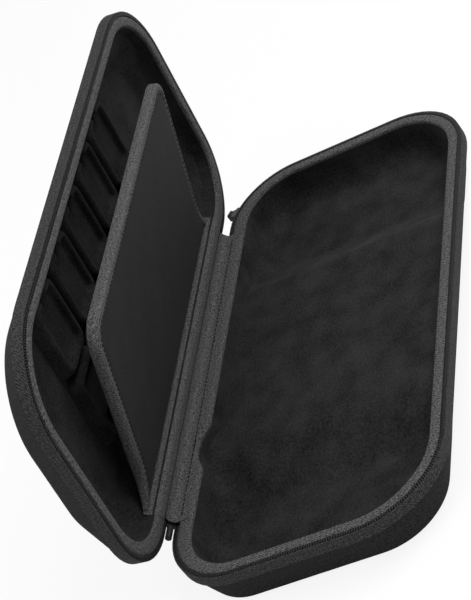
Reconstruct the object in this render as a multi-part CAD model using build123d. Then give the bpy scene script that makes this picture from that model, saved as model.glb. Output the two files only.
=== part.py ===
from build123d import *
import math
import os

# Zip-round moulded case for a handheld game console, standing open on its two underside pods.
# Millimetres. X runs along the case, +Y points to the spine, +Z is up.
# The origin is on the floor, under the middle of the open case.

# Rim: the outer face of the zip tape, seen from above
RIM_LENGTH = 290.6
RIM_WIDTH = 140.0
RIM_CORNER = 43.5
SPINE_CORNER = 36.0

# Zip tape and coil
TAPE_THICKNESS = 0.7
TAPE_HEIGHT = 5.2
TAPE_TOP = 0.4
COIL_WIDTH = 1.7
COIL_HALF_HEIGHT = 1.1
COIL_CHAMFER = 0.6
SEAM_GAP = 0.1

# Woven binding over the rim
BINDING_FROM_RIM = 2.6
BINDING_WIDTH = 5.2
BINDING_WIDTH_SPINE = 7.1
BINDING_TOP = 1.2
BINDING_BEVEL = 0.8
RIM_DROP = 1.2

# Moulded shells
SHELL_WALL = 3.0
WALL_HEIGHT = 5.0
BASE_DEPTH = 25.0
BASE_END_DRAFT = 6.5
BASE_SIDE_DRAFT = 10.5
BASE_CORNER_DROP = 15.0
BASE_ROUND = 7.0
MIDDLE_DEPTH = 13.0
MIDDLE_HALF = 62.0
MIDDLE_SLOPE = 24.0
MIDDLE_ROUND = 14.0
LID_DEPTH = 21.0
LID_END_DRAFT = 11.0
LID_SIDE_DRAFT = 18.5
LID_CORNER_DROP = 3.0
LID_ROUND = 9.0

# Liners glued inside the shells
LINER_GAP = 0.15
LINER_WALL = 1.6
FINGER_NOTCH_X = -56.0
FINGER_NOTCH_WIDTH = 28.0
FINGER_NOTCH_DEPTH = 5.2

# Card beds moulded in the lid liner
CARD_LENGTH = 31.0
CARD_WIDTH = 21.0
CARD_THICKNESS = 3.3
CARD_CLEARANCE = 0.7
BED_WALL = 3.2
BED_GROOVE = 5.0
BED_COLUMNS = 5
BED_ROWS = 2
BED_CORNER = 4.0
BED_DRAFT = 2.4
BED_TOP = 9.6
BED_SHIFT_X = -4.0
BED_FROM_SPINE = 80.0
THUMB_NOTCH_WIDTH = 7.0
THUMB_NOTCH_DEPTH = 6.0

# Hinge line of the lid and how far it stands open
HINGE_OUT = 1.75
HINGE_UP = 1.4
LID_OPEN = 80.9

# Spine: outer web and inner lining strip
SPINE_FROM_END = 41.3
WEB_THICKNESS = 0.7
WEB_CLEARANCE = 0.1
WEB_REACH = 5.4
WEB_BEND_DROP = 1.2
WEB_FOLD_OUT = 0.5
LINING_THICKNESS = 0.6
LINING_HEIGHT = 0.75
LINING_BEND = 0.3

# Padded flap inside the lid
FLAP_LENGTH = 190.0
FLAP_WIDTH = 99.0
FLAP_THICKNESS = 6.0
FLAP_CORNER = 12.0
FLAP_DEPTH = 6.0
FLAP_OPEN = 11.4
GUSSET_THICKNESS = 1.2
GUSSET_GAP = 0.05
FLAP_ROUND_LEFT = 0.1
FLAP_WEB_THICKNESS = 0.8
FLAP_WEB_TOP = 1.5
FLAP_WEB_GAP = 0.1
FLAP_ROOT_GAP = 0.25

# Zip slider and its pull, parked at the far end of the spine, and the stop at the near end
SLIDER_TURN = 22.0
SLIDER_LENGTH = 9.0
SLIDER_HEIGHT = 5.4
SLIDER_THICKNESS = 3.0
SLIDER_TAPER = 1.2
SLIDER_CLEARANCE = 0.3
SLIDER_DROP = 2.4
SLIDER_ROUND = 0.6
BRIDGE_SECTION = 1.3
BRIDGE_STANDOFF = 2.6
BRIDGE_LENGTH = 6.6
BRIDGE_BEND = 1.6
EYE_CLEARANCE = 0.25
EYE_WALL = 1.1
PULL_WIDTH = 4.4
PULL_GRIP_WIDTH = 6.4
PULL_LENGTH = 20.0
PULL_GRIP_LENGTH = 14.0
PULL_THICKNESS = 1.8
STOP_RADIUS = 1.6
STOP_LENGTH = 7.0
STOP_GAP = 0.3
STOP_CHAMFER = 0.5

# Levels and places worked out from the values above
RIM_Z = BASE_DEPTH
SPINE_HALF = RIM_LENGTH / 2 - SPINE_FROM_END
HINGE_Y = RIM_WIDTH / 2 + HINGE_OUT
HINGE_Z = RIM_Z + HINGE_UP
HINGE_AXIS = Axis((0, HINGE_Y, HINGE_Z), (1, 0, 0))
SHELL_FROM_RIM = TAPE_THICKNESS + SEAM_GAP
BINDING_IN = BINDING_FROM_RIM + BINDING_WIDTH
BINDING_IN_SPINE = BINDING_FROM_RIM + BINDING_WIDTH_SPINE
FLAP_WEB_Y = RIM_WIDTH / 2 - BINDING_IN_SPINE - FLAP_WEB_GAP - FLAP_WEB_THICKNESS / 2
FLAP_Y = FLAP_WEB_Y - FLAP_WEB_THICKNESS / 2 - FLAP_ROOT_GAP - FLAP_THICKNESS / 2
LINER_OUT = SHELL_WALL + LINER_GAP
LINER_IN = LINER_OUT + LINER_WALL
DEEPEST = max(BASE_DEPTH, LID_DEPTH)
REACH = RIM_LENGTH


def rounded_outline(length, width, inset):
    """Rectangle with its corners rounded as the rim's, less the inset, and tighter along the spine."""
    shape = Rectangle(length, width)
    shape = fillet(shape.vertices().group_by(Axis.Y)[-1], SPINE_CORNER - inset)
    return fillet(shape.vertices().group_by(Axis.Y)[0], RIM_CORNER - inset)


def rim_outline(inset):
    """Rounded outline that lies inside the rim by the same inset all round."""
    return rounded_outline(RIM_LENGTH - 2 * inset, RIM_WIDTH - 2 * inset, inset)


def opening_outline():
    """Inner edge of the binding, which is wider along the spine."""
    width = RIM_WIDTH - BINDING_IN - BINDING_IN_SPINE
    shape = rounded_outline(RIM_LENGTH - 2 * BINDING_IN, width, BINDING_IN)
    return Pos(0, (BINDING_IN - BINDING_IN_SPINE) / 2) * shape


def slab(outline, low, high):
    """Outline extruded between two levels."""
    return extrude(Pos(0, 0, low) * outline, high - low, dir=(0, 0, 1))


def bowl(wall, depth, end_draft, side_draft, corner_drop):
    """Drafted moulded form, taken in by wall on every side, with its rim near level 0."""
    inset = SHELL_FROM_RIM + wall
    floor = depth - wall
    top = rim_outline(inset)
    length = RIM_LENGTH - 2 * (inset + end_draft)
    width = RIM_WIDTH - 2 * (inset + side_draft)
    bottom = rounded_outline(length, width, wall + corner_drop)
    form = slab(top, -WALL_HEIGHT, -RIM_DROP)
    return form + loft([Pos(0, 0, -WALL_HEIGHT) * top, Pos(0, 0, -floor) * bottom], ruled=True)


def rounded_floor(form, radius):
    """Form with the edge round its floor rounded."""
    return fillet(form.edges().group_by(Axis.Z)[0], radius)


def base_form(wall, seen=True):
    """Base mould: two deep pods joined by a shallow middle. Faces glued together stay unrounded."""
    form = bowl(wall, BASE_DEPTH, BASE_END_DRAFT, BASE_SIDE_DRAFT, BASE_CORNER_DROP)
    if seen:
        form = rounded_floor(form, BASE_ROUND - wall / 2)
    top = wall - MIDDLE_DEPTH
    drop = BASE_DEPTH - MIDDLE_DEPTH
    half = MIDDLE_HALF - wall / 2
    foot = half + MIDDLE_SLOPE
    below = top - 2 * drop
    far = foot + MIDDLE_SLOPE
    outline = Polyline((-half, top), (half, top), (far, below), (-far, below), close=True)
    arch = make_face(Plane.XZ * outline)
    crown = arch.vertices().group_by(Axis.Z)[-1]
    arch = fillet(crown, MIDDLE_ROUND)
    return form - extrude(arch, REACH, both=True)


def lid_form(wall, seen=True):
    """Lid mould: one shallow dome. Faces glued together stay unrounded."""
    form = bowl(wall, LID_DEPTH, LID_END_DRAFT, LID_SIDE_DRAFT, LID_CORNER_DROP)
    return rounded_floor(form, LID_ROUND - wall / 2) if seen else form


def on_base(shape):
    """From the rim frame, rim at level 0 and cavity downwards, to its place in the base."""
    return Pos(0, 0, RIM_Z) * shape


def on_lid(shape):
    """From the rim frame to the lid: turned over onto the base, then swung open on the hinge."""
    closed = Pos(0, 0, RIM_Z + 2 * HINGE_UP) * mirror(shape, about=Plane.XY)
    return closed.rotate(HINGE_AXIS, -LID_OPEN)


def lid_point(y, z):
    """Where a point of the rim frame's section lies once it belongs to the open lid."""
    across = y - HINGE_Y
    up = HINGE_UP - z
    turn = math.radians(LID_OPEN)
    y_open = HINGE_Y + across * math.cos(turn) + up * math.sin(turn)
    z_open = HINGE_UP - across * math.sin(turn) + up * math.cos(turn)
    return (y_open, z_open)


def spine_cut():
    """Block that takes the zip away along the spine."""
    return Pos(0, RIM_WIDTH / 2, 0) * Box(2 * SPINE_HALF, RIM_WIDTH / 2, 2 * BASE_DEPTH)


def zip_tape():
    """Tape sewn round the rim, from one end of the spine to the other."""
    ring = rim_outline(0) - rim_outline(TAPE_THICKNESS)
    return slab(ring, -TAPE_HEIGHT, TAPE_TOP) - spine_cut()


def zip_coil():
    """Row of coil teeth along the inner edge of the tape, here as one bevelled rail."""
    inner = TAPE_THICKNESS + SEAM_GAP
    ring = rim_outline(inner) - rim_outline(inner + COIL_WIDTH)
    rail = slab(ring, -COIL_HALF_HEIGHT, COIL_HALF_HEIGHT)
    rail = chamfer(rail.edges().group_by(Axis.Z)[-1], COIL_CHAMFER)
    return rail - spine_cut()


def binding():
    """Woven band that covers the rim, with a bevelled top."""
    ring = rim_outline(BINDING_FROM_RIM) - opening_outline()
    band = slab(ring, SEAM_GAP - RIM_DROP, BINDING_TOP)
    return chamfer(band.edges().group_by(Axis.Z)[-1], BINDING_BEVEL)


def liner(form_at):
    """Lining glued into a shell, open inside the binding."""
    room = form_at(LINER_IN) & slab(opening_outline(), -DEEPEST, 0)
    mouth = slab(opening_outline(), -WALL_HEIGHT, 0)
    return form_at(LINER_OUT, seen=False) - room - mouth


def finger_notch():
    """Scoop out of the base's lining and binding along the spine, for the finger that lifts the console."""
    wall_y = RIM_WIDTH / 2 - BINDING_IN_SPINE
    radius = (FINGER_NOTCH_WIDTH**2 / 4 + FINGER_NOTCH_DEPTH**2) / (2 * FINGER_NOTCH_DEPTH)
    centre_y = wall_y + FINGER_NOTCH_DEPTH - radius
    return slab(Pos(FINGER_NOTCH_X, centre_y) * Circle(radius), -WALL_HEIGHT, BINDING_TOP)


def card_insert():
    """Lid lining with a grid of beds, each a shallow pocket for one flat card."""
    pocket_x = CARD_WIDTH + CARD_CLEARANCE
    pocket_y = CARD_LENGTH + CARD_CLEARANCE
    bed_x = pocket_x + 2 * BED_WALL
    bed_y = pocket_y + 2 * BED_WALL
    pitch_x = bed_x + BED_GROOVE
    pitch_y = bed_y + BED_GROOVE
    floor = LID_DEPTH - LINER_IN + LINER_WALL / 2
    crown = RectangleRounded(bed_x, bed_y, BED_CORNER)
    foot = RectangleRounded(bed_x + 2 * BED_DRAFT, bed_y + 2 * BED_DRAFT, BED_CORNER + BED_DRAFT)
    bed = loft([Pos(0, 0, -floor) * foot, Pos(0, 0, -BED_TOP) * crown], ruled=True)
    pocket_floor = -BED_TOP - CARD_THICKNESS
    bed -= slab(Rectangle(pocket_x, pocket_y), pocket_floor, 0)
    notch = Rectangle(THUMB_NOTCH_WIDTH, bed_y + 2 * BED_DRAFT)
    notch_floor = -BED_TOP - THUMB_NOTCH_DEPTH
    mould = lid_form(LINER_OUT, seen=False)
    beds = []
    for column in range(BED_COLUMNS):
        for row in range(BED_ROWS):
            x = BED_SHIFT_X + (column - (BED_COLUMNS - 1) / 2) * pitch_x
            y = (row - (BED_ROWS - 1) / 2) * pitch_y
            side = 1 if row else -1
            thumb = slab(Pos(0, side * bed_y / 2) * notch, notch_floor, 0)
            beds.append(mould & Pos(x, HINGE_Y - BED_FROM_SPINE + y) * (bed - thumb))
    return liner(lid_form) + beds


def strip(points, thickness, half_length):
    """Cloth strip along the spine that follows a bent line in its section."""
    section = Plane.YZ * trace(Polyline(*points), line_width=thickness)
    return extrude(section, half_length, both=True)


def spine_web():
    """Outer web sewn to both shells, folded at the hinge line."""
    face_y = RIM_WIDTH / 2 - SHELL_FROM_RIM + WEB_CLEARANCE + WEB_THICKNESS / 2
    low = (face_y, -WEB_REACH)
    bend = (face_y, -WEB_BEND_DROP)
    half_turn = math.radians(LID_OPEN / 2)
    fold = (HINGE_Y + WEB_FOLD_OUT * math.cos(half_turn), HINGE_UP - WEB_FOLD_OUT * math.sin(half_turn))
    return strip([low, bend, fold, lid_point(*bend), lid_point(*low)], WEB_THICKNESS, SPINE_HALF)


def hinge_lining():
    """Inner strip between the two bindings along the spine."""
    start = (RIM_WIDTH / 2 - BINDING_FROM_RIM + SEAM_GAP, LINING_HEIGHT)
    bend = (RIM_WIDTH / 2 + LINING_BEND, LINING_HEIGHT)
    return strip([start, bend, lid_point(*bend), lid_point(*start)], LINING_THICKNESS, SPINE_HALF)


def flap_outline(inset):
    """Flap seen square on: a straight root along its hinge and two rounded outer corners."""
    root = FLAP_Y + FLAP_THICKNESS / 2
    outer = FLAP_Y - FLAP_WIDTH + inset
    length = FLAP_LENGTH - 2 * inset
    shape = Pos(0, (root + outer) / 2) * Rectangle(length, root - outer)
    corners = shape.vertices().group_by(Axis.Y)[0]
    return fillet(corners, FLAP_CORNER - inset)


def on_flap(shape):
    """From the closed flap in the rim frame to the open flap on the open lid."""
    flap_axis = Axis((0, FLAP_Y, -FLAP_DEPTH), (1, 0, 0))
    return on_lid(shape.rotate(flap_axis, -FLAP_OPEN))


def flap_panel():
    """Foam-filled panel faced with cloth on both sides, its root rounded about the hinge."""
    low = -FLAP_DEPTH - FLAP_THICKNESS / 2
    panel = slab(flap_outline(GUSSET_THICKNESS + GUSSET_GAP), low, low + FLAP_THICKNESS)
    root = panel.faces().sort_by(Axis.Y)[-1]
    return fillet(root.edges().filter_by(Axis.X), FLAP_THICKNESS / 2 - FLAP_ROUND_LEFT)


def flap_gusset():
    """Woven edge strip sewn round the three free sides of the panel."""
    low = -FLAP_DEPTH - FLAP_THICKNESS / 2
    strip_outline = flap_outline(0) - flap_outline(GUSSET_THICKNESS)
    free = Pos(0, FLAP_Y - FLAP_WIDTH / 2) * Rectangle(FLAP_LENGTH, FLAP_WIDTH)
    return slab(strip_outline & free, low, low + FLAP_THICKNESS)


def flap_web():
    """Cloth strip sewn to the lid lining, which the root of the flap hangs from."""
    length = FLAP_LENGTH - 2 * FLAP_CORNER
    outline = Pos(0, FLAP_WEB_Y) * Rectangle(length, FLAP_WEB_THICKNESS)
    return slab(outline, -FLAP_DEPTH, -FLAP_WEB_TOP)


def slider_plane():
    """Plane on the outer face of the tape at the far corner of the spine, facing out."""
    turn = math.radians(SLIDER_TURN)
    x = RIM_LENGTH / 2 - SPINE_CORNER + SPINE_CORNER * math.sin(turn)
    y = RIM_WIDTH / 2 - SPINE_CORNER + SPINE_CORNER * math.cos(turn)
    out = (math.sin(turn), math.cos(turn), 0)
    along = (-math.cos(turn), math.sin(turn), 0)
    return Plane(origin=(x, y, RIM_Z - SLIDER_DROP), x_dir=along, z_dir=out)


def zip_slider():
    """Die-cast slider: a wedge-shaped body and a bridge for the pull."""
    half = SLIDER_LENGTH / 2
    wide = SLIDER_HEIGHT / 2
    narrow = wide - SLIDER_TAPER
    outline = Polyline((-half, -narrow), (half, -wide), (half, wide), (-half, narrow), close=True)
    body = slab(make_face(outline), SLIDER_CLEARANCE, SLIDER_CLEARANCE + SLIDER_THICKNESS)
    body = fillet(body.edges().filter_by(Axis.Z), SLIDER_ROUND)
    face = SLIDER_CLEARANCE + SLIDER_THICKNESS
    run = BRIDGE_LENGTH / 2
    rise = face + BRIDGE_STANDOFF
    sunk = face - BRIDGE_SECTION
    path = FilletPolyline((-run, sunk), (-run, rise), (run, rise), (run, sunk), radius=BRIDGE_BEND)
    strap = Plane.XZ * trace(path, line_width=BRIDGE_SECTION)
    bridge = extrude(strap, BRIDGE_SECTION / 2, both=True)
    return slider_plane().location * (body + bridge)


def zip_pull():
    """Pull that hangs from the bridge by a round eye."""
    rise = SLIDER_CLEARANCE + SLIDER_THICKNESS + BRIDGE_STANDOFF
    hole = BRIDGE_SECTION / math.sqrt(2) + EYE_CLEARANCE
    eye_width = BRIDGE_LENGTH - 2 * BRIDGE_BEND - 2 * EYE_CLEARANCE
    eye = Circle(hole + EYE_WALL) - Circle(hole)
    ring = extrude(Plane.YZ * eye, eye_width / 2, both=True)
    neck = Pos(0, -hole - PULL_LENGTH / 2) * Rectangle(eye_width, PULL_LENGTH)
    grip_low = -hole - PULL_LENGTH
    grip = Pos(0, grip_low + PULL_GRIP_LENGTH / 2) * RectangleRounded(
        PULL_GRIP_WIDTH, PULL_GRIP_LENGTH, PULL_WIDTH / 2
    )
    tab = slab(neck + grip, -PULL_THICKNESS / 2, PULL_THICKNESS / 2)
    return slider_plane().location * Pos(0, 0, rise) * (ring + tab)


def zip_stop():
    """Crimped stop on the closed end of the zip, round the hinge line so that the lid swings clear."""
    stop = Cylinder(STOP_RADIUS, STOP_LENGTH, rotation=(0, 90, 0))
    stop = chamfer(stop.edges().filter_by(GeomType.CIRCLE), STOP_CHAMFER)
    return Pos(-SPINE_HALF - STOP_GAP - STOP_LENGTH / 2, HINGE_Y, HINGE_UP) * stop


PARTS = {
    "base_shell": on_base(base_form(0) - base_form(SHELL_WALL, seen=False)),
    "console_tray": on_base(liner(base_form) - finger_notch()),
    "base_binding": on_base(binding() - finger_notch()),
    "base_zip_tape": on_base(zip_tape()),
    "base_zip_coil": on_base(zip_coil()),
    "lid_shell": on_lid(lid_form(0) - lid_form(SHELL_WALL, seen=False)),
    "card_insert": on_lid(card_insert()),
    "lid_binding": on_lid(binding()),
    "lid_zip_tape": on_lid(zip_tape()),
    "lid_zip_coil": on_lid(zip_coil()),
    "spine_web": on_base(spine_web()),
    "hinge_lining": on_base(hinge_lining()),
    "flap_panel": on_flap(flap_panel()),
    "flap_gusset": on_flap(flap_gusset()),
    "flap_web": on_lid(flap_web()),
    "zip_slider": zip_slider(),
    "zip_pull": zip_pull(),
    "zip_stop": on_base(zip_stop()),
}

# The origin lies on the standing plane, under the middle of the whole open case.
MIDDLE = Compound(list(PARTS.values())).bounding_box().center()
TO_ORIGIN = Pos(-round(MIDDLE.X, 1), -round(MIDDLE.Y, 1))

os.makedirs("parts", exist_ok=True)
for name, shape in PARTS.items():
    export_step(TO_ORIGIN * shape, f"parts/{name}.step")
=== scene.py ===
import math

import bpy
from mathutils import Matrix, Vector


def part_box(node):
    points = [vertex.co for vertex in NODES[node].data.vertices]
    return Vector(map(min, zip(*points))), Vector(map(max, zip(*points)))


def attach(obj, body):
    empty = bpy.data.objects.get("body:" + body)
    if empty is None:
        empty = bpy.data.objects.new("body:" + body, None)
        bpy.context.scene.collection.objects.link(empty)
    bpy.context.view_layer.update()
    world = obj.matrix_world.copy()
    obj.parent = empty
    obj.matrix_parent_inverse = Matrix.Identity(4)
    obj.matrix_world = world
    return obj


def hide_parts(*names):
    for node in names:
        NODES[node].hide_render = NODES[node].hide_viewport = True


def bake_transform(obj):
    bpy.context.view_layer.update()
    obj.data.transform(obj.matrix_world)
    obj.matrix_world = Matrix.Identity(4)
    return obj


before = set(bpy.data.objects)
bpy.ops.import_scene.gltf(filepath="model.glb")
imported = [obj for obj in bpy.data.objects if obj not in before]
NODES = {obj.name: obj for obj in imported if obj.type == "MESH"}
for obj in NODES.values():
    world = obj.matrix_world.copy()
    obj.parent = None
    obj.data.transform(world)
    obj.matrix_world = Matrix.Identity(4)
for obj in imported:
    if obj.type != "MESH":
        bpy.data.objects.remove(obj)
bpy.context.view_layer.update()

# Zip-round moulded travel case, standing open.
# Sizes are millimetres, as in the part's source. MM turns them to metres.
MM = 0.001

# Closer than NEAR counts as the same place. A plate's flat face has more than CAP_SIDES corners, and each
# face of its walls has four.
NEAR = 0.01
CAP_SIDES = 20
CORNER_STEPS = 14
# Length on the piece of one unit of its UV map
UV_UNIT = 10.0

# Rim, zip and binding
RIM_LENGTH = 290.6
RIM_WIDTH = 140.0
RIM_CORNER = 43.5
SPINE_CORNER = 36.0
RIM_Z = 25.0
TAPE_THICKNESS = 0.7
TAPE_LOW = -5.2
TAPE_TOP = 0.4
COIL_INSET = 0.8
COIL_WIDTH = 1.7
BINDING_OUT = 2.6
BINDING_IN = 7.8
BINDING_SPINE_EXTRA = 1.9
BINDING_LOW = -1.1
SPINE_HALF = 104.0

# Hinge of the lid and of the flap
HINGE_Y = 71.75
HINGE_UP = 1.4
LID_OPEN = 80.9
FLAP_Y = 56.15
FLAP_LEVEL = -6.0
FLAP_OPEN = 11.4
FLAP_LENGTH = 190.0
FLAP_WIDTH = 99.0
FLAP_THICKNESS = 6.0
FLAP_CORNER = 12.0

# The base's rim is centred on this y in the shared frame
low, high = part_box("base_zip_tape")
BASE_Y = (low[1] + high[1]) / 2 / MM


def turn_x(degrees, y, z):
    """Turn about an axis along X through one point of the section."""
    axis = Vector((0, y * MM, z * MM))
    turn = Matrix.Rotation(math.radians(degrees), 4, "X")
    return Matrix.Translation(axis) @ turn @ Matrix.Translation(-axis)


# From the rim frame, rim at level 0 and cavity down, to the base, the open lid and the open flap
ON_BASE = Matrix.Translation((0, BASE_Y * MM, RIM_Z * MM))
OVER = Matrix.Translation((0, 0, 2 * HINGE_UP * MM)) @ Matrix.Rotation(math.pi, 4, "Y")
ON_LID = ON_BASE @ turn_x(-LID_OPEN, HINGE_Y, HINGE_UP) @ OVER
ON_FLAP = ON_LID @ turn_x(-FLAP_OPEN, FLAP_Y, FLAP_LEVEL)


def only(obj):
    """Leaves one object selected and active."""
    bpy.ops.object.select_all(action="DESELECT")
    obj.select_set(True)
    bpy.context.view_layer.objects.active = obj


def named(name):
    """Names the object that an operator has just added."""
    obj = bpy.context.active_object
    obj.name = name
    obj.data.name = name
    return obj


def edit(obj, kind, test):
    """Enters edit mode with those vertices, edges or faces selected that pass the test."""
    only(obj)
    bpy.ops.object.mode_set(mode="EDIT")
    bpy.ops.mesh.select_mode(type=kind)
    bpy.ops.mesh.select_all(action="DESELECT")
    bpy.ops.object.mode_set(mode="OBJECT")
    mesh = obj.data
    elements = {"VERT": mesh.vertices, "EDGE": mesh.edges, "FACE": mesh.polygons}[kind]
    for element in elements:
        element.select = test(element)
    bpy.ops.object.mode_set(mode="EDIT")


def leave():
    """Back to object mode."""
    bpy.ops.object.mode_set(mode="OBJECT")


def lift(height):
    """Extrudes the selected faces along Z by a height in millimetres."""
    bpy.ops.mesh.extrude_region_move(TRANSFORM_OT_translate={"value": (0, 0, height * MM)})


def modify(obj, kind, **settings):
    """Adds a modifier and applies it."""
    only(obj)
    modifier = obj.modifiers.new(kind.lower(), kind)
    for key, value in settings.items():
        setattr(modifier, key, value)
    bpy.ops.object.modifier_apply(modifier=modifier.name)


def place(obj, matrix):
    """Moves a piece from its rim frame and leaves its place in its mesh."""
    only(obj)
    obj.matrix_world = matrix
    bpy.ops.object.transform_apply(location=True, rotation=True, scale=True)


def unwrap(obj):
    """Box-projected UV map."""
    edit(obj, "FACE", lambda face: True)
    bpy.ops.uv.cube_project(cube_size=UV_UNIT * MM)
    leave()


def smooth(obj, angle=40):
    """Smooth shading with the sharp edges kept."""
    only(obj)
    bpy.ops.object.shade_smooth_by_angle(angle=math.radians(angle))


def finish(obj, material, body=None, stands_for=()):
    """Gives a piece its material, slot and body, and hides the solids that it stands for."""
    obj.data.materials.clear()
    obj.data.materials.append(material)
    if body:
        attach(obj, body)
    if stands_for:
        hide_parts(*stands_for)


def outline(name, length, width, free_corner, spine_corner, y=0.0, z=0.0):
    """Flat plate with rounded corners: one radius on the opening side, another along the spine."""
    bpy.ops.object.select_all(action="DESELECT")
    bpy.ops.mesh.primitive_plane_add(size=1, location=(0, y * MM, z * MM))
    plate = named(name)
    plate.scale = (length * MM, width * MM, 1)
    bpy.ops.object.transform_apply(location=True, rotation=True, scale=True)
    for side, radius in ((-1, free_corner), (1, spine_corner)):
        if radius:
            edge = y + side * width / 2
            edit(plate, "VERT", lambda vert: abs(vert.co.y / MM - edge) < NEAR)
            bpy.ops.mesh.bevel(offset=radius * MM, segments=CORNER_STEPS, affect="VERTICES")
            leave()
    return plate


def rim_plate(name, inset, z=0.0):
    """Plate inside the rim by an inset."""
    length = RIM_LENGTH - 2 * inset
    width = RIM_WIDTH - 2 * inset
    return outline(name, length, width, RIM_CORNER - inset, SPINE_CORNER - inset, z=z)


def boundary(obj):
    """Indices of the edges that border just one face."""
    count = {}
    for face in obj.data.polygons:
        for key in face.edge_keys:
            count[key] = count.get(key, 0) + 1
    return {edge.index for edge in obj.data.edges if count.get(tuple(sorted(edge.vertices)), 0) == 1}


def open_underside(obj, bottom):
    """Turns a cup-shaped ring into a closed band: its underside is opened and bridged."""
    edit(obj, "FACE", lambda face: len(face.vertices) > CAP_SIDES and face.center.z < (bottom + NEAR) * MM)
    bpy.ops.mesh.delete(type="FACE")
    leave()
    rims = boundary(obj)
    edit(obj, "EDGE", lambda edge: edge.index in rims)
    bpy.ops.mesh.bridge_edge_loops()
    bpy.ops.mesh.select_all(action="SELECT")
    bpy.ops.mesh.normals_make_consistent(inside=False)
    leave()


def cut_spine(obj, half):
    """Takes the spine's stretch out of a ring and closes the two ends."""
    middle = RIM_WIDTH / 4 * MM
    for side in (-1, 1):
        edit(obj, "FACE", lambda face: face.center.y > middle)
        bpy.ops.mesh.bisect(plane_co=(side * half * MM, 0, 0), plane_no=(1, 0, 0))
        leave()
    edit(obj, "FACE", lambda face: face.center.y > middle and abs(face.center.x) < half * MM)
    bpy.ops.mesh.delete(type="FACE")
    bpy.ops.mesh.select_all(action="SELECT")
    bpy.ops.mesh.fill_holes(sides=0)
    bpy.ops.mesh.normals_make_consistent(inside=False)
    leave()


# Materials


def srgb(code):
    """Linear colour of an sRGB hex value."""
    parts = [int(code[i : i + 2], 16) / 255 for i in (1, 3, 5)]
    linear = [c / 12.92 if c <= 0.04045 else ((c + 0.055) / 1.055) ** 2.4 for c in parts]
    return (*linear, 1.0)


def add(tree, kind, inputs=None, **settings):
    """Adds a node with its settings, its values and its links."""
    node = tree.nodes.new(kind)
    for key, value in settings.items():
        setattr(node, key, value)
    for key, value in (inputs or {}).items():
        if isinstance(value, bpy.types.NodeSocket):
            tree.links.new(value, node.inputs[key])
        else:
            node.inputs[key].default_value = value
    return node


def new_material(name):
    """Empty material with its principled shader."""
    material = bpy.data.materials.new(name)
    material.use_nodes = True
    return material, material.node_tree, material.node_tree.nodes["Principled BSDF"]


# A wave texture repeats every 2 pi / 20 units at scale 1
WAVE = 2 * math.pi / 20


# Weave: the ribs' slant, how long a fleck of light yarn is drawn, and how much flecks and ribs give the tone
RIB_SLANT = math.radians(38)
FLECK_STRETCH = 0.35
FLECK_SHARE = 0.62
RIB_SHARE = 0.42


def woven(name, dark, light, thread, rib, fleck, depth, roughness, sheen):
    """Cloth woven of mixed dark and light yarn, with diagonal ribs, on the piece's UV map in millimetres."""
    material, tree, surface = new_material(name)
    uv = add(tree, "ShaderNodeTexCoord").outputs["UV"]
    scale = (UV_UNIT, UV_UNIT, UV_UNIT)
    flat = add(tree, "ShaderNodeMapping", {"Vector": uv, "Scale": scale}).outputs["Vector"]
    turned = add(
        tree, "ShaderNodeMapping", {"Vector": uv, "Scale": scale, "Rotation": (0, 0, RIB_SLANT)}
    ).outputs["Vector"]
    ribs = add(
        tree,
        "ShaderNodeTexWave",
        {"Vector": turned, "Scale": WAVE / rib, "Distortion": 0.8, "Detail": 1.5, "Detail Scale": 1.2},
        bands_direction="X",
    )
    threads = add(
        tree,
        "ShaderNodeTexWave",
        {"Vector": flat, "Scale": WAVE / thread, "Distortion": 1.2, "Detail": 1.0, "Detail Scale": 1.5},
        bands_direction="Y",
    )
    stretched = add(
        tree, "ShaderNodeMapping", {"Vector": turned, "Scale": (1 / fleck, FLECK_STRETCH / fleck, 1)}
    )
    yarn = add(
        tree,
        "ShaderNodeTexNoise",
        {"Vector": stretched.outputs["Vector"], "Scale": 1, "Detail": 3, "Roughness": 0.7},
    )
    contrast = add(
        tree,
        "ShaderNodeMapRange",
        {"Value": yarn.outputs["Fac"], "From Min": 0.4, "From Max": 0.62},
    )
    groove = add(
        tree, "ShaderNodeMath", {0: ribs.outputs["Fac"], 1: threads.outputs["Fac"]}, operation="MULTIPLY"
    )
    shade = add(
        tree, "ShaderNodeMath", {0: contrast.outputs["Result"], 1: FLECK_SHARE}, operation="MULTIPLY"
    )
    tone = add(
        tree,
        "ShaderNodeMath",
        {0: groove.outputs["Value"], 1: RIB_SHARE, 2: shade.outputs["Value"]},
        operation="MULTIPLY_ADD",
    )
    colour = add(
        tree, "ShaderNodeMix", {0: tone.outputs["Value"], 6: srgb(dark), 7: srgb(light)}, data_type="RGBA"
    )
    height = add(
        tree,
        "ShaderNodeMath",
        {0: yarn.outputs["Fac"], 1: 0.5, 2: groove.outputs["Value"]},
        operation="MULTIPLY_ADD",
    )
    bump = add(
        tree, "ShaderNodeBump", {"Height": height.outputs["Value"], "Strength": 0.8, "Distance": depth * MM}
    )
    tree.links.new(colour.outputs[2], surface.inputs["Base Color"])
    tree.links.new(bump.outputs["Normal"], surface.inputs["Normal"])
    surface.inputs["Roughness"].default_value = roughness
    surface.inputs["Sheen Weight"].default_value = sheen
    surface.inputs["Specular IOR Level"].default_value = 0.1
    return material


NAP_PATCH = 14.0


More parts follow.
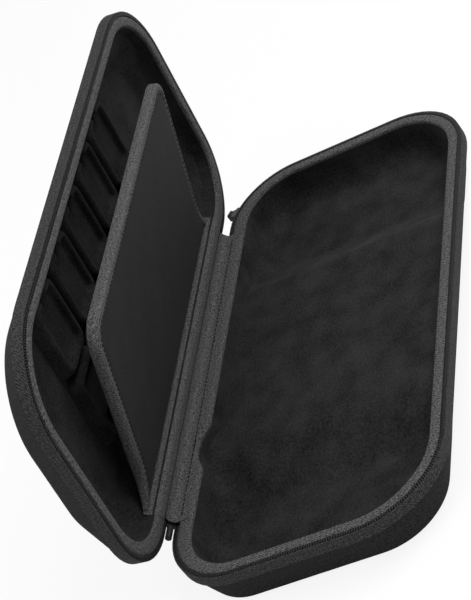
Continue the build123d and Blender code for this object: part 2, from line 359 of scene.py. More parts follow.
def napped(name, dark, light, grain, patches, depth, roughness, sheen):
    """Cloth with a short nap: fine grain and slow patches of shade, on Object coordinates."""
    material, tree, surface = new_material(name)
    spot = add(tree, "ShaderNodeTexCoord").outputs["Object"]
    pile = add(
        tree,
        "ShaderNodeTexNoise",
        {"Vector": spot, "Scale": 1 / (grain * MM), "Detail": 4, "Roughness": 0.75},
    )
    patch = add(tree, "ShaderNodeTexNoise", {"Vector": spot, "Scale": 1 / (NAP_PATCH * MM), "Detail": 3})
    tone = add(
        tree,
        "ShaderNodeMath",
        {0: patch.outputs["Fac"], 1: patches, 2: pile.outputs["Fac"]},
        operation="MULTIPLY_ADD",
    )
    middle = 0.5 + patches / 2
    spread = add(
        tree,
        "ShaderNodeMapRange",
        {"Value": tone.outputs["Value"], "From Min": middle - 0.25, "From Max": middle + 0.25},
    )
    colour = add(
        tree, "ShaderNodeMix", {0: spread.outputs["Result"], 6: srgb(dark), 7: srgb(light)}, data_type="RGBA"
    )
    bump = add(
        tree, "ShaderNodeBump", {"Height": pile.outputs["Fac"], "Strength": 0.6, "Distance": depth * MM}
    )
    tree.links.new(colour.outputs[2], surface.inputs["Base Color"])
    tree.links.new(bump.outputs["Normal"], surface.inputs["Normal"])
    surface.inputs["Roughness"].default_value = roughness
    surface.inputs["Sheen Weight"].default_value = sheen
    surface.inputs["Specular IOR Level"].default_value = 0.08
    return material


def moulded(name, dark, light, grain, depth, roughness):
    """Hard black finish with a fine grain, on Object coordinates."""
    material, tree, surface = new_material(name)
    spot = add(tree, "ShaderNodeTexCoord").outputs["Object"]
    grit = add(tree, "ShaderNodeTexNoise", {"Vector": spot, "Scale": 1 / (grain * MM), "Detail": 3})
    colour = add(
        tree, "ShaderNodeMix", {0: grit.outputs["Fac"], 6: srgb(dark), 7: srgb(light)}, data_type="RGBA"
    )
    bump = add(
        tree, "ShaderNodeBump", {"Height": grit.outputs["Fac"], "Strength": 0.4, "Distance": depth * MM}
    )
    tree.links.new(colour.outputs[2], surface.inputs["Base Color"])
    tree.links.new(bump.outputs["Normal"], surface.inputs["Normal"])
    surface.inputs["Roughness"].default_value = roughness
    surface.inputs["Specular IOR Level"].default_value = 0.2
    return material


# Polyester twill binding of mixed grey yarn: matt, with diagonal ribs and light flecks
TWILL = woven(
    "heather polyester twill",
    "#0d0d0e",
    "#7c7c7d",
    thread=0.6,
    rib=0.9,
    fleck=0.5,
    depth=0.3,
    roughness=0.9,
    sheen=0.02,
)
# Zip tape of the same yarn with less of the light one: a dark, matt band
TAPE = woven(
    "woven polyester zip tape",
    "#0b0b0c",
    "#565657",
    thread=0.6,
    rib=0.9,
    fleck=0.5,
    depth=0.25,
    roughness=0.9,
    sheen=0.02,
)
# Polyester cloth laminated on the moulded foam: dark and matt, with a fine twill. The twill is drawn coarser
# than the real thread so that it shows.
SHELL = woven(
    "polyester cloth on moulded foam",
    "#0a0a0b",
    "#3a3a3b",
    thread=0.6,
    rib=0.9,
    fleck=0.5,
    depth=0.2,
    roughness=0.9,
    sheen=0.01,
)
# Brushed velour lining: almost black, with a soft sheen
VELOUR = napped(
    "brushed velour",
    "#090909",
    "#323232",
    grain=1.2,
    patches=0.55,
    depth=0.25,
    roughness=0.95,
    sheen=0.03,
)
# Smooth knit over the flap's foam: dark grey with a faint grain
FLAP_CLOTH = napped(
    "smooth polyester knit",
    "#181818",
    "#343434",
    grain=0.8,
    patches=0.2,
    depth=0.1,
    roughness=0.85,
    sheen=0.01,
)
# Sewing thread: twisted polyester, black, so that each row shows as dark dashes on the grey cloth
THREAD = moulded(
    "polyester sewing thread",
    "#080809",
    "#161617",
    grain=0.3,
    depth=0.05,
    roughness=0.8,
)
# Nylon coil: black, half glossy
NYLON = moulded(
    "black nylon",
    "#0e0e0f",
    "#1c1c1e",
    grain=0.5,
    depth=0.02,
    roughness=0.45,
)
# Painted zinc die casting: satin black with a little orange peel
ZINC = moulded(
    "satin black painted zinc",
    "#101011",
    "#1a1a1c",
    grain=0.4,
    depth=0.01,
    roughness=0.35,
)


# Shells: moulded foam with a cloth skin
SKIN_VOXEL = 1.5


def shell_skin(name, node, body):
    """Softened copy of a moulded shell: its creases are rounded as laminated cloth rounds them."""
    skin = NODES[node].copy()
    skin.data = NODES[node].data.copy()
    skin.parent = None
    skin.matrix_world = Matrix.Identity(4)
    bpy.context.collection.objects.link(skin)
    skin.name = skin.data.name = name
    edit(skin, "VERT", lambda vert: True)
    bpy.ops.mesh.remove_doubles(threshold=NEAR * MM)
    leave()
    modify(skin, "REMESH", mode="VOXEL", voxel_size=SKIN_VOXEL * MM)
    modify(skin, "SMOOTH", factor=0.5, iterations=6)
    unwrap(skin)
    smooth(skin, 60)
    finish(skin, SHELL, body, [node])


shell_skin("base_shell_skin", "base_shell", "base")
shell_skin("lid_shell_skin", "lid_shell", "lid")


# Linings: one sheet of velour pressed into each shell, inside the opening that the binding leaves
OPEN_LENGTH = RIM_LENGTH - 2 * BINDING_IN
OPEN_WIDTH = RIM_WIDTH - 2 * BINDING_IN - BINDING_SPINE_EXTRA
OPEN_Y = -BINDING_SPINE_EXTRA / 2
LINING_STEP = 2.5
LINING_TOP = -0.8
LINING_CLOTH = 0.9
LINING_INSET = 0.25
LINING_START = 1.0
# How far each lining's face lies above the solid that it is pressed onto
TRAY_LIFT = 0.05
LID_LIFT = 1.75
# Finger notch in the wall along the spine
NOTCH_X = -56.0
NOTCH_HALF = 14.0
NOTCH_DEPTH = 5.2


def lining(name, target, offset, matrix, body, stands_for, notch=False):
    """Velour sheet: a plate cut to a fine grid, pressed onto the mould, its wall drawn up to the binding."""
    sheet = outline(
        name,
        OPEN_LENGTH - 2 * LINING_INSET,
        OPEN_WIDTH - 2 * LINING_INSET,
        RIM_CORNER - BINDING_IN - LINING_INSET,
        SPINE_CORNER - BINDING_IN - LINING_INSET,
        y=OPEN_Y,
        z=LINING_START,
    )
    for axis, size in (((1, 0, 0), OPEN_LENGTH), ((0, 1, 0), OPEN_WIDTH)):
        cuts = round(size / LINING_STEP)
        for i in range(1, cuts):
            place_x = (i / cuts - 0.5) * size * MM * axis[0]
            place_y = ((i / cuts - 0.5) * size + OPEN_Y) * MM * axis[1]
            edit(sheet, "FACE", lambda face: True)
            bpy.ops.mesh.bisect(plane_co=(place_x, place_y, 0), plane_no=axis)
            leave()
    if notch:
        spine = OPEN_Y + OPEN_WIDTH / 2 - LINING_INSET
        for vert in sheet.data.vertices:
            away = (vert.co.x / MM - NOTCH_X) / NOTCH_HALF
            if abs(away) < 1 and vert.co.y / MM > spine - NEAR:
                vert.co.y += NOTCH_DEPTH * math.cos(away * math.pi / 2) * MM
    sheet.matrix_world = matrix
    bpy.context.view_layer.update()
    modify(
        sheet,
        "SHRINKWRAP",
        target=NODES[target],
        wrap_method="PROJECT",
        use_project_z=True,
        use_negative_direction=True,
        use_positive_direction=False,
        offset=offset * MM,
    )
    sheet.matrix_world = Matrix.Identity(4)
    modify(sheet, "SMOOTH", factor=0.5, iterations=3)
    rims = boundary(sheet)
    edit(sheet, "EDGE", lambda edge: edge.index in rims)
    # The wall's top edge is drawn out first and then levelled under the binding
    bpy.ops.mesh.extrude_region_move(TRANSFORM_OT_translate={"value": (0, 0, LINING_START * MM)})
    bpy.ops.transform.resize(value=(1, 1, 0), center_override=(0, 0, LINING_TOP * MM))
    bpy.ops.mesh.select_all(action="SELECT")
    bpy.ops.mesh.normals_make_consistent(inside=False)
    leave()
    if sum(face.normal.z * face.area for face in sheet.data.polygons) < 0:
        edit(sheet, "FACE", lambda face: True)
        bpy.ops.mesh.flip_normals()
        leave()
    modify(sheet, "SOLIDIFY", thickness=LINING_CLOTH * MM, offset=-1)
    smooth(sheet, 50)
    place(sheet, matrix)
    finish(sheet, VELOUR, body, stands_for)


lining("tray_lining", "console_tray", TRAY_LIFT, ON_BASE, "base", ["console_tray"], notch=True)
lining("lid_lining", "lid_shell", LID_LIFT, ON_LID, "lid", ["card_insert"])


# Card beds: soft velour frames on the lid lining, five along the case and two across
BED_COLUMNS = 5
BED_ROWS = 2
BED_X = 28.1
BED_Y = 38.1
BED_WALL = 3.2
BED_GROOVE = 5.0
BED_LOW = -17.2
BED_TOP = -9.6
BED_CORNER = 4.0
BED_DRAFT = 2.4
BED_ROUND = 1.3
BED_VOXEL = 0.8
POCKET_DEPTH = 3.3
THUMB_WIDTH = 7.0
THUMB_DEPTH = 6.0
BED_SHIFT = 4.0
BED_FROM_SPINE = 80.0


def card_bed():
    """One bed: a drafted block with rounded corners, a pocket for a card and a thumb notch in one end."""
    foot_x, foot_y = BED_X + 2 * BED_DRAFT, BED_Y + 2 * BED_DRAFT
    corner = BED_CORNER + BED_DRAFT
    bed = outline("card_bed", foot_x, foot_y, corner, corner, z=BED_LOW)
    edit(bed, "FACE", lambda face: True)
    lift(BED_TOP - BED_LOW)
    bpy.ops.transform.resize(value=(BED_X / foot_x, BED_Y / foot_y, 1), center_override=(0, 0, BED_TOP * MM))
    bpy.ops.mesh.inset(thickness=BED_WALL * MM)
    lift(-POCKET_DEPTH)
    bpy.ops.mesh.select_all(action="SELECT")
    bpy.ops.mesh.normals_make_consistent(inside=False)
    leave()
    bpy.ops.object.select_all(action="DESELECT")
    bpy.ops.mesh.primitive_cube_add(size=1, location=(0, foot_y / 2 * MM, BED_TOP * MM))
    cutter = named("thumb_cutter")
    cutter.scale = (THUMB_WIDTH * MM, foot_y / 2 * MM, 2 * THUMB_DEPTH * MM)
    bpy.ops.object.transform_apply(location=True, rotation=True, scale=True)
    modify(bed, "BOOLEAN", operation="DIFFERENCE", object=cutter, solver="EXACT")
    bpy.data.objects.remove(cutter)
    modify(bed, "BEVEL", width=BED_ROUND * MM, segments=4, limit_method="ANGLE", angle_limit=math.radians(30))
    modify(bed, "REMESH", mode="VOXEL", voxel_size=BED_VOXEL * MM)
    modify(bed, "SMOOTH", factor=0.5, iterations=8)
    smooth(bed, 60)
    return bed


first_bed = card_bed()
for column in range(BED_COLUMNS):
    for row in range(BED_ROWS):
        bed = first_bed.copy()
        bed.data = first_bed.data.copy()
        bpy.context.collection.objects.link(bed)
        bed.name = bed.data.name = f"card_bed_{column}_{row}"
        x = BED_SHIFT + (column - (BED_COLUMNS - 1) / 2) * (BED_X + BED_GROOVE)
        y = HINGE_Y - BED_FROM_SPINE + (row - (BED_ROWS - 1) / 2) * (BED_Y + BED_GROOVE)
        turn = Matrix.Rotation(0 if row else math.pi, 4, "Z")
        place(bed, ON_LID @ Matrix.Translation((x * MM, y * MM, 0)) @ turn)
        finish(bed, VELOUR, "lid")
bpy.data.objects.remove(first_bed)


# Woven bindings: a crowned band that covers each rim. Each step goes in by the first length and up by the
# second. The two steps over the crown also take up the extra width along the spine.
BAND_STEPS = ((0.4, 0.4), (0.6, 0.28), (1.6, 0.12), (1.6, -0.12), (0.6, -0.28), (0.4, -0.4))
CROWN_STEPS = (2, 3)
BAND_SIDE = 0.35
BAND_END = 99.0


def binding(name, matrix, body, node, spine_open=False):
    """Band pulled up over the rim: a plate extruded, then stepped inwards over its crown and down again."""
    band = rim_plate(name, BINDING_OUT, BINDING_LOW)
    edit(band, "FACE", lambda face: True)
    lift(BAND_SIDE - BINDING_LOW)
    for i, (step, rise) in enumerate(BAND_STEPS):
        bpy.ops.mesh.inset(thickness=step * MM)
        bpy.ops.transform.translate(value=(0, 0, rise * MM))
        if i in CROWN_STEPS:
            leave()
            inner = {v for face in band.data.polygons if face.select for v in face.vertices}
            edit(band, "VERT", lambda vert: vert.index in inner and vert.co.y > 0)
            bpy.ops.transform.translate(value=(0, -BINDING_SPINE_EXTRA / 2 * MM, 0))
            leave()
            edit(band, "FACE", lambda face: len(face.vertices) > CAP_SIDES and face.center.z > 0)
    lift(BINDING_LOW - BAND_SIDE)
    bpy.ops.mesh.delete(type="FACE")
    leave()
    open_underside(band, BINDING_LOW)
    if spine_open:
        cut_spine(band, BAND_END)
    unwrap(band)
    smooth(band, 60)
    place(band, matrix)
    finish(band, TWILL, body, [node])


binding("base_binding_band", ON_BASE, "base", "base_binding", spine_open=True)
binding("lid_binding_band", ON_LID, "lid", "lid_binding")


# Zip: woven tape and nylon coil round each rim


def zip_tape(name, matrix, body, node):
    """Tape round the rim as a thin upright band, open along the spine."""
    tape = rim_plate(name, 0, TAPE_LOW)
    edit(tape, "FACE", lambda face: True)
    lift(TAPE_TOP - TAPE_LOW)
    bpy.ops.mesh.inset(thickness=TAPE_THICKNESS * MM)
    lift(TAPE_LOW - TAPE_TOP)
    bpy.ops.mesh.delete(type="FACE")
    leave()
    open_underside(tape, TAPE_LOW)
    cut_spine(tape, SPINE_HALF)
    unwrap(tape)
    smooth(tape, 50)
    place(tape, matrix)
    finish(tape, TAPE, body, [node])


zip_tape("base_tape", ON_BASE, "base", "base_zip_tape")
zip_tape("lid_tape", ON_LID, "lid", "lid_zip_tape")


def rim_path(inset, half_gap):
    """Curve along the rim, from one end of the spine's gap round to the other."""
    path = rim_plate("rim_path", inset)
    edge_y = RIM_WIDTH / 2 - inset
    edit(path, "FACE", lambda face: True)
    bpy.ops.mesh.delete(type="ONLY_FACE")
    leave()
    for side in (-1, 1):
        edit(path, "VERT", lambda vert: vert.co.y / MM > edge_y - NEAR)
        bpy.ops.mesh.bisect(plane_co=(side * half_gap * MM, 0, 0), plane_no=(1, 0, 0))
        leave()
    at = [vert.co.copy() for vert in path.data.vertices]
    edit(
        path,
        "EDGE",
        lambda edge: min(at[i].y for i in edge.vertices) / MM > edge_y - NEAR
        and abs(at[edge.vertices[0]].x + at[edge.vertices[1]].x) / MM < half_gap,
    )
    bpy.ops.mesh.delete(type="EDGE")
    leave()
    only(path)
    bpy.ops.object.convert(target="CURVE")
    path.data.dimensions = "2D"
    return path


def along(obj, path, pitch):
    """Repeats a small shape along a curve, with its own X running along it."""
    modify(
        obj,
        "ARRAY",
        fit_type="FIT_CURVE",
        curve=path,
        use_relative_offset=False,
        use_constant_offset=True,
        constant_offset_displace=(pitch * MM, 0, 0),
    )
    modify(obj, "CURVE", object=path, deform_axis="POS_X")
    bpy.data.objects.remove(path)


COIL_PITCH = 1.25
TOOTH_START = 0.45 * COIL_PITCH
TOOTH_LENGTH = 0.72 * COIL_PITCH
TOOTH_HEIGHT = 2.0
TOOTH_ROUND = 0.2


def zip_coil(name, matrix, body, node):
    """Row of nylon teeth: one bevelled tooth repeated along the rim."""
    bpy.ops.object.select_all(action="DESELECT")
    bpy.ops.mesh.primitive_cube_add(size=1, location=(TOOTH_START * MM, 0, 0))
    coil = named(name)
    coil.scale = (TOOTH_LENGTH * MM, COIL_WIDTH * MM, TOOTH_HEIGHT * MM)
    bpy.ops.object.transform_apply(location=True, rotation=True, scale=True)
    edit(coil, "FACE", lambda face: abs(face.normal.y) > 0.9)
    bpy.ops.mesh.inset(thickness=TOOTH_ROUND * MM)
    leave()
    modify(
        coil,
        "BEVEL",
        width=TOOTH_ROUND * MM,
        segments=1,
        limit_method="ANGLE",
        angle_limit=math.radians(60),
    )
    along(coil, rim_path(COIL_INSET + COIL_WIDTH / 2, SPINE_HALF), COIL_PITCH)
    smooth(coil, 60)
    place(coil, matrix)
    finish(coil, NYLON, body, [node])


zip_coil("base_coil", ON_BASE, "base", "base_zip_coil")
zip_coil("lid_coil", ON_LID, "lid", "lid_zip_coil")


# Spine: outer web and inner lining strip, both cloth that bends with the lid


def lid_point(y, z):
    """Where a point of the rim frame's section lies once it belongs to the open lid."""
    turn = math.radians(LID_OPEN)
    across, up = y - HINGE_Y, HINGE_UP - z
    return (
        HINGE_Y + across * math.cos(turn) + up * math.sin(turn),
        HINGE_UP - across * math.sin(turn) + up * math.cos(turn),
    )


# A strip is cut across at this step. Past the finger notch its bite fades out over the spread, and it sinks.
STRIP_STEP = 4.0
NOTCH_SPREAD = 2.0
NOTCH_FALL = 0.25


def strip(name, section, half, thickness, notch=False):
    """Cloth strip: one edge drawn out along its section's points, then rounded and given its thickness."""
    bpy.ops.object.select_all(action="DESELECT")
    bpy.ops.mesh.primitive_plane_add(size=2 * half * MM)
    cloth = named(name)
    edit(cloth, "VERT", lambda vert: vert.co.y > 0)
    bpy.ops.mesh.delete(type="VERT")
    leave()
    for vert in cloth.data.vertices:
        vert.co.y, vert.co.z = section[0][0] * MM, section[0][1] * MM
    edit(cloth, "VERT", lambda vert: True)
    for (y0, z0), (y1, z1) in zip(section, section[1:]):
        step = (0, (y1 - y0) * MM, (z1 - z0) * MM)
        bpy.ops.mesh.extrude_region_move(TRANSFORM_OT_translate={"value": step})
    bpy.ops.mesh.select_all(action="SELECT")
    bpy.ops.mesh.normals_make_consistent(inside=False)
    leave()
    cuts = 2 * round(half / STRIP_STEP)
    for i in range(1, cuts):
        edit(cloth, "FACE", lambda face: True)
        bpy.ops.mesh.bisect(plane_co=((2 * i / cuts - 1) * half * MM, 0, 0), plane_no=(1, 0, 0))
        leave()
    modify(cloth, "SUBSURF", levels=1, render_levels=1)
    if notch:
        for vert in cloth.data.vertices:
            away = (vert.co.x / MM - NOTCH_X) / NOTCH_HALF
            if abs(away) < 1:
                bite = NOTCH_DEPTH * math.cos(away * math.pi / 2)
                near_edge = max(0.0, 1 - (vert.co.y / MM - section[0][0]) / (NOTCH_DEPTH + NOTCH_SPREAD))
                vert.co.y += bite * near_edge * MM
                vert.co.z -= NOTCH_FALL * bite * near_edge**2 * MM
    modify(cloth, "SOLIDIFY", thickness=thickness * MM, offset=0)
    unwrap(cloth)
    smooth(cloth, 60)
    return cloth


# Outer web: up the base's wall, round the hinge and up the lid's wall. Its points are across and up in the
# section.
WEB_CLOTH = 0.7
WEB_Y = 69.65
WEB_BEND = (WEB_Y, -1.2)
WEB_ROOT = (WEB_Y, -5.4)
WEB_OUT = 0.5
HALF_TURN = math.radians(LID_OPEN / 2)
WEB_FOLD = (HINGE_Y + WEB_OUT * math.cos(HALF_TURN), HINGE_UP - WEB_OUT * math.sin(HALF_TURN))
web_section = [WEB_ROOT, WEB_BEND, WEB_FOLD, lid_point(*WEB_BEND), lid_point(*WEB_ROOT)]
web = strip("spine_cloth", web_section, SPINE_HALF, WEB_CLOTH)
place(web, ON_BASE)
finish(web, SHELL, stands_for=["spine_web"])
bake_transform(web)

# Wide band along the base's spine: it covers the rim, dips at the hinge and ends under the lid's binding
BAND_CLOTH = 0.5
BAND_FROM_END = 2.0
BAND_HALF = SPINE_HALF - BAND_FROM_END
HINGE_DIP = (69.6, 0.75)
LID_SIDE = (67.4, 0.75)
band_section = [(60.4, -0.9), (60.4, 0.5), (61.4, 1.15), (64.5, 1.25), (67.6, 1.1), HINGE_DIP]
band_section += [lid_point(*HINGE_DIP), lid_point(*LID_SIDE)]
spine_band = strip("spine_band_cloth", band_section, BAND_HALF, BAND_CLOTH, notch=True)
place(spine_band, ON_BASE)
finish(spine_band, TWILL, stands_for=["hinge_lining"])
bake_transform(spine_band)


# Flap: a foam pad faced with cloth, a woven edge strip and the web that it hangs from
PAD_INSET = 1.1
PAD_ROOT = FLAP_Y + FLAP_THICKNESS / 2
PAD_ROOT_GAP = 0.5
PAD_START = 4.6
PAD_VOXEL = 2.0
PAD_PRESSURE = 4.0
PAD_FRAMES = 12
PAD_CAP = 0.9


def flap_plate(name, inset, root, z):
    """Flat plate in the flap's outline."""
    outer = FLAP_Y - FLAP_WIDTH + inset
    corner = FLAP_CORNER - inset
    return outline(name, FLAP_LENGTH - 2 * inset, root - outer, corner, 0, y=(root + outer) / 2, z=z)


# Drawn-out ends of the flap at its root: by how much, from where on, and how much thinner. The powers in
# flare() keep the change close to the root and to the two ends.
FLARE = 11.0
FLARE_FROM = 34.0
FLARE_FRONT = FLAP_LEVEL + FLAP_THICKNESS / 2
FLARE_THIN = 0.6


def flare(piece):
    """Draws the two ends of the flap out and thin at its root, where they are sewn into the binding."""
    for vert in piece.data.vertices:
        share = max(0.0, vert.co.y / MM - FLARE_FROM) / (PAD_ROOT - FLARE_FROM)
        end = max(0.0, abs(vert.co.x) / MM - FLAP_LENGTH / 4) / (FLAP_LENGTH / 4)
        vert.co.x += math.copysign(FLARE * end * share**3 * MM, vert.co.x)
        front = FLARE_FRONT * MM
        vert.co.z = front + (vert.co.z - front) * (1 - FLARE_THIN * end**4 * share**2)


def flap_pad():
    """Foam pad: a plate remeshed fine, blown up a little as cloth, and held to a small rise."""
    pad = flap_plate("flap_pad", PAD_INSET, PAD_ROOT - PAD_ROOT_GAP, FLAP_LEVEL - PAD_START / 2)
    edit(pad, "FACE", lambda face: True)
    lift(PAD_START)
    bpy.ops.mesh.select_all(action="SELECT")
    bpy.ops.mesh.normals_make_consistent(inside=False)
    leave()
    modify(pad, "REMESH", mode="VOXEL", voxel_size=PAD_VOXEL * MM)
    before = [vert.co.copy() for vert in pad.data.vertices]
    only(pad)
    cloth = pad.modifiers.new("fill", "CLOTH")
    cloth.settings.use_pressure = True
    cloth.settings.uniform_pressure_force = PAD_PRESSURE
    cloth.settings.effector_weights.gravity = 0.0
    for step in range(1, PAD_FRAMES + 1):
        bpy.context.scene.frame_set(step)
    bpy.ops.object.modifier_apply(modifier="fill")
    bpy.context.scene.frame_set(1)
    for vert, start in zip(pad.data.vertices, before):
        move = vert.co - start
        if move.length > PAD_CAP * MM:
            vert.co = start + move.normalized() * PAD_CAP * MM
    modify(pad, "SMOOTH", factor=0.5, iterations=4)
    modify(pad, "SUBSURF", levels=1, render_levels=1)
    only(pad)
    bpy.ops.object.shade_smooth()
    flare(pad)
    place(pad, ON_FLAP)
    finish(pad, FLAP_CLOTH, "flap", ["flap_panel"])


flap_pad()


# Steps of the edge strip from its outer side over each face: how far in, and how far out of the flap
EDGE_STEPS = ((0.7, 0.75), (1.0, 0.35), (1.6, 0.1), (1.3, -0.1))
EDGE_CUTS = 6
# The strip is made longer than the flap and cut off just past the flap's hinge
EDGE_SPARE = 8.0
EDGE_END = 1.5


def flap_edge():
    """Woven strip round the three free sides of the flap: a plate stepped in over its crown on both faces."""
    half = FLAP_THICKNESS / 2 - sum(rise for _, rise in EDGE_STEPS[:3])
    edge = flap_plate("flap_edge", 0, FLAP_Y + EDGE_SPARE, FLAP_LEVEL - half)
    edit(edge, "FACE", lambda face: True)
    lift(2 * half)
    for side in (1, -1):
        leave()
        edit(edge, "FACE", lambda face: len(face.vertices) > CAP_SIDES and face.normal.z * side > 0.9)
        for step, rise in EDGE_STEPS:
            bpy.ops.mesh.inset(thickness=step * MM)
            bpy.ops.transform.translate(value=(0, 0, side * rise * MM))
    leave()
    edit(edge, "FACE", lambda face: len(face.vertices) > CAP_SIDES and abs(face.normal.z) > 0.9)
    bpy.ops.mesh.delete(type="FACE")
    leave()
    rims = boundary(edge)
    edit(edge, "EDGE", lambda side: side.index in rims)
    bpy.ops.mesh.bridge_edge_loops()
    leave()
    edit(edge, "FACE", lambda face: True)
    bpy.ops.mesh.bisect(
        plane_co=(0, (FLAP_Y + EDGE_END) * MM, 0), plane_no=(0, 1, 0), clear_outer=True, use_fill=False
    )
    leave()
    for i in range(1, EDGE_CUTS):
        cut = FLARE_FROM + (PAD_ROOT - FLARE_FROM) * i / EDGE_CUTS
        edit(edge, "FACE", lambda face: True)
        bpy.ops.mesh.bisect(plane_co=(0, cut * MM, 0), plane_no=(0, 1, 0))
        leave()
    edit(edge, "FACE", lambda face: True)
    bpy.ops.mesh.fill_holes(sides=0)
    bpy.ops.mesh.normals_make_consistent(inside=False)
    leave()
    unwrap(edge)
    flare(edge)
    smooth(edge, 60)
    place(edge, ON_FLAP)
    finish(edge, TWILL, "flap", ["flap_gusset"])


flap_edge()


def flap_point(y, z):
    """Where a point of the rim frame's section lies once it belongs to the open flap."""
    turn = math.radians(FLAP_OPEN)
    across, up = y - FLAP_Y, z - FLAP_LEVEL
    return (
        FLAP_Y + across * math.cos(turn) + up * math.sin(turn),
        FLAP_LEVEL - across * math.sin(turn) + up * math.cos(turn),
    )


# Stitches: one row inside the flap's free sides and one along the spine's band
STITCH = (2.2, 0.7, 0.5)
STITCH_TOP = (0.7, 0.5, 1)
STITCH_PITCH = 2.9
FLAP_STITCH_INSET = 3.6
SEAM_Y = 66.4
SEAM_FROM_END = 6.0
SEAM_HALF = SPINE_HALF - SEAM_FROM_END
SEAM_LEVEL = 1.42


def stitch_row(name, path, level):
    """Row of stitches: one stitch with its ends drawn in, repeated along a curve."""
    bpy.ops.object.select_all(action="DESELECT")
    bpy.ops.mesh.primitive_cube_add(size=1, location=(STITCH_PITCH / 2 * MM, 0, 0))
    row = named(name)
    row.scale = [size * MM for size in STITCH]
    bpy.ops.object.transform_apply(location=True, rotation=True, scale=True)
    edit(row, "FACE", lambda face: face.normal.z > 0.9)
    bpy.ops.transform.resize(value=STITCH_TOP)
    leave()
    along(row, path, STITCH_PITCH)
    for vert in row.data.vertices:
        vert.co.z += level * MM
    smooth(row, 60)
    return row


def straight_path(y, half):
    """Straight curve along the spine."""
    bpy.ops.object.select_all(action="DESELECT")
    bpy.ops.mesh.primitive_plane_add(size=2 * half * MM, location=(0, y * MM - half * MM, 0))
    path = named("straight_path")
    bpy.ops.object.transform_apply(location=True, rotation=True, scale=True)
    edit(path, "VERT", lambda vert: vert.co.y / MM < y - 1)
    bpy.ops.mesh.delete(type="VERT")
    leave()
    only(path)
    bpy.ops.object.convert(target="CURVE")
    return path


def flap_path(inset):
    """Curve inside the three free sides of the flap."""
    root = FLAP_Y - 1
    path = flap_plate("flap_path", inset, root, 0)
    edit(path, "FACE", lambda face: True)
    bpy.ops.mesh.delete(type="ONLY_FACE")
    leave()
    high = [vert.co.y / MM > root - NEAR for vert in path.data.vertices]
    edit(path, "EDGE", lambda edge: high[edge.vertices[0]] and high[edge.vertices[1]])
    bpy.ops.mesh.delete(type="EDGE")
    leave()
    only(path)
    bpy.ops.object.convert(target="CURVE")
    path.data.dimensions = "2D"
    return path


flap_stitches = stitch_row("flap_stitches", flap_path(FLAP_STITCH_INSET), FLAP_LEVEL + FLAP_THICKNESS / 2)
flare(flap_stitches)
place(flap_stitches, ON_FLAP)
finish(flap_stitches, THREAD, "flap")

seam_stitches = stitch_row("seam_stitches", straight_path(SEAM_Y, SEAM_HALF), SEAM_LEVEL)
place(seam_stitches, ON_BASE)
finish(seam_stitches, THREAD, "base")


# Small woven loop sewn in at the far end of the hinge
LOOP_AT = (97.0, 68.3, 1.2)
LOOP_SIZE = (9.0, 3.2, 0.8)
LOOP_HEM = 0.7
LOOP_CROWN = 0.1
LOOP_ROUND = 0.25
bpy.ops.object.select_all(action="DESELECT")
bpy.ops.mesh.primitive_cube_add(size=1, location=[c * MM for c in LOOP_AT])
loop = named("hinge_loop")
loop.scale = [size * MM for size in LOOP_SIZE]
bpy.ops.object.transform_apply(location=True, rotation=True, scale=True)
edit(loop, "FACE", lambda face: face.normal.z > 0.9)
bpy.ops.mesh.inset(thickness=LOOP_HEM * MM)
bpy.ops.transform.translate(value=(0, 0, LOOP_CROWN * MM))
leave()
modify(loop, "BEVEL", width=LOOP_ROUND * MM, segments=2, limit_method="ANGLE", angle_limit=math.radians(40))
unwrap(loop)
smooth(loop, 60)
place(loop, ON_BASE)
finish(loop, TWILL, "base")


# Woven band that the flap hangs from: sewn to the lid's binding and to the root of the flap
HANG_LID = (60.3, 0.5)
HANG_FLAP = flap_point(58.9, -4.2)
hang_section = [(64.6, 1.3), (61.6, 1.3), HANG_LID, (59.9, -1.2), HANG_FLAP, flap_point(58.4, -5.6)]
HANG_HALF = FLAP_LENGTH / 2 + FLARE
flap_hanger = strip("flap_hanger_cloth", hang_section, HANG_HALF, BAND_CLOTH)
place(flap_hanger, ON_LID)
finish(flap_hanger, TWILL, stands_for=["flap_web"])
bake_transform(flap_hanger)


# Zip fittings: the solids themselves, in their own finish
for name, material in (("zip_slider", ZINC), ("zip_pull", ZINC), ("zip_stop", NYLON)):
    NODES[name].active_material = material


# Stage: white floor that keeps a faint shadow, soft light and the camera
FLOOR_SIDE = 12.0
FLOOR_GLOW = 0.88
ROOM = 0.35
AIM = Vector((0, 0, 0.06))

bpy.ops.object.select_all(action="DESELECT")
bpy.ops.mesh.primitive_plane_add(size=FLOOR_SIDE)
floor = named("floor")
paper, tree, surface = new_material("white paper sweep")
surface.inputs["Base Color"].default_value = srgb("#f4f4f4")
surface.inputs["Roughness"].default_value = 0.9
seen = add(tree, "ShaderNodeLightPath").outputs["Is Camera Ray"]
share = add(tree, "ShaderNodeMath", {0: seen, 1: FLOOR_GLOW}, operation="MULTIPLY").outputs["Value"]
white = add(tree, "ShaderNodeEmission", {"Color": srgb("#ffffff"), "Strength": 1.0})
mixed = add(
    tree,
    "ShaderNodeMixShader",
    {0: share, 1: surface.outputs["BSDF"], 2: white.outputs["Emission"]},
)
tree.links.new(mixed.outputs["Shader"], tree.nodes["Material Output"].inputs["Surface"])
floor.data.materials.append(paper)

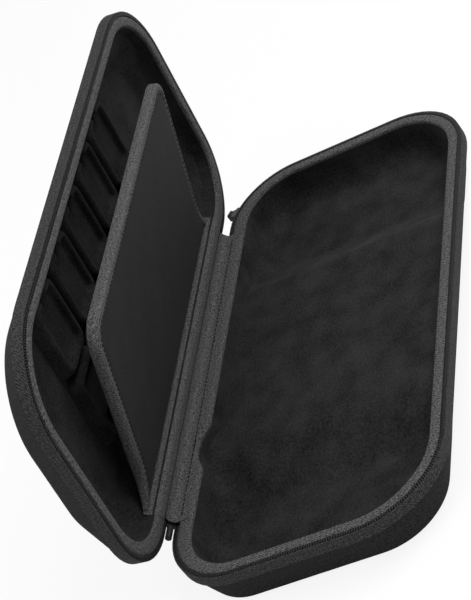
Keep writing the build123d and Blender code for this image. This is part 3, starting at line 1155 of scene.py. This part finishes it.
world = bpy.data.worlds.new("studio")
bpy.context.scene.world = world
world.use_nodes = True
tree = world.node_tree
tree.nodes.clear()
rays = add(tree, "ShaderNodeLightPath")
seen = add(
    tree,
    "ShaderNodeMath",
    {0: rays.outputs["Is Camera Ray"], 1: rays.outputs["Is Glossy Ray"]},
    operation="MAXIMUM",
)
seen = add(
    tree,
    "ShaderNodeMath",
    {0: seen.outputs["Value"], 1: rays.outputs["Is Transmission Ray"]},
    operation="MAXIMUM",
)
room_light = add(tree, "ShaderNodeBackground", {"Color": srgb("#ffffff"), "Strength": ROOM})
backdrop = add(tree, "ShaderNodeBackground", {"Color": srgb("#ffffff"), "Strength": 1.0})
both = add(
    tree,
    "ShaderNodeMixShader",
    {0: seen.outputs["Value"], 1: room_light.outputs["Background"], 2: backdrop.outputs["Background"]},
)
add(tree, "ShaderNodeOutputWorld", {"Surface": both.outputs["Shader"]})


def soft_light(name, at, size, power):
    """Square soft box that faces the case: its place and side in metres, its power in watts."""
    bpy.ops.object.select_all(action="DESELECT")
    bpy.ops.object.light_add(type="AREA", location=at)
    lamp = named(name)
    lamp.data.size = size
    lamp.data.energy = power
    lamp.rotation_euler = (AIM - Vector(at)).to_track_quat("-Z", "Y").to_euler()


soft_light("key_light", (0.25, -0.75, 1.2), 0.7, 14)
soft_light("fill_light", (-0.5, 0.1, 1.4), 0.7, 6.5)

# Camera fitted to the photograph: its place from the middle of the base's rim, and its three axes
CAMERA_AT = (-713.91, -389.79, 528.83)
CAMERA_RIGHT = (0.1168, -0.8343, -0.5388)
CAMERA_UP = (0.6634, -0.3382, 0.6674)
CAMERA_BACK = (-0.7391, -0.4354, 0.5140)
CAMERA_LENS = 121.63
CAMERA_SENSOR = 36
bpy.ops.object.camera_add()
camera = named("camera")
axes = Matrix((CAMERA_RIGHT, CAMERA_UP, CAMERA_BACK)).transposed().to_4x4()
camera.matrix_world = ON_BASE @ Matrix.Translation(Vector(CAMERA_AT) * MM) @ axes
camera.data.lens = CAMERA_LENS
camera.data.sensor_width = CAMERA_SENSOR
camera.data.clip_start = 0.01
bpy.context.scene.camera = camera
bpy.context.scene.view_settings.view_transform = "Standard"
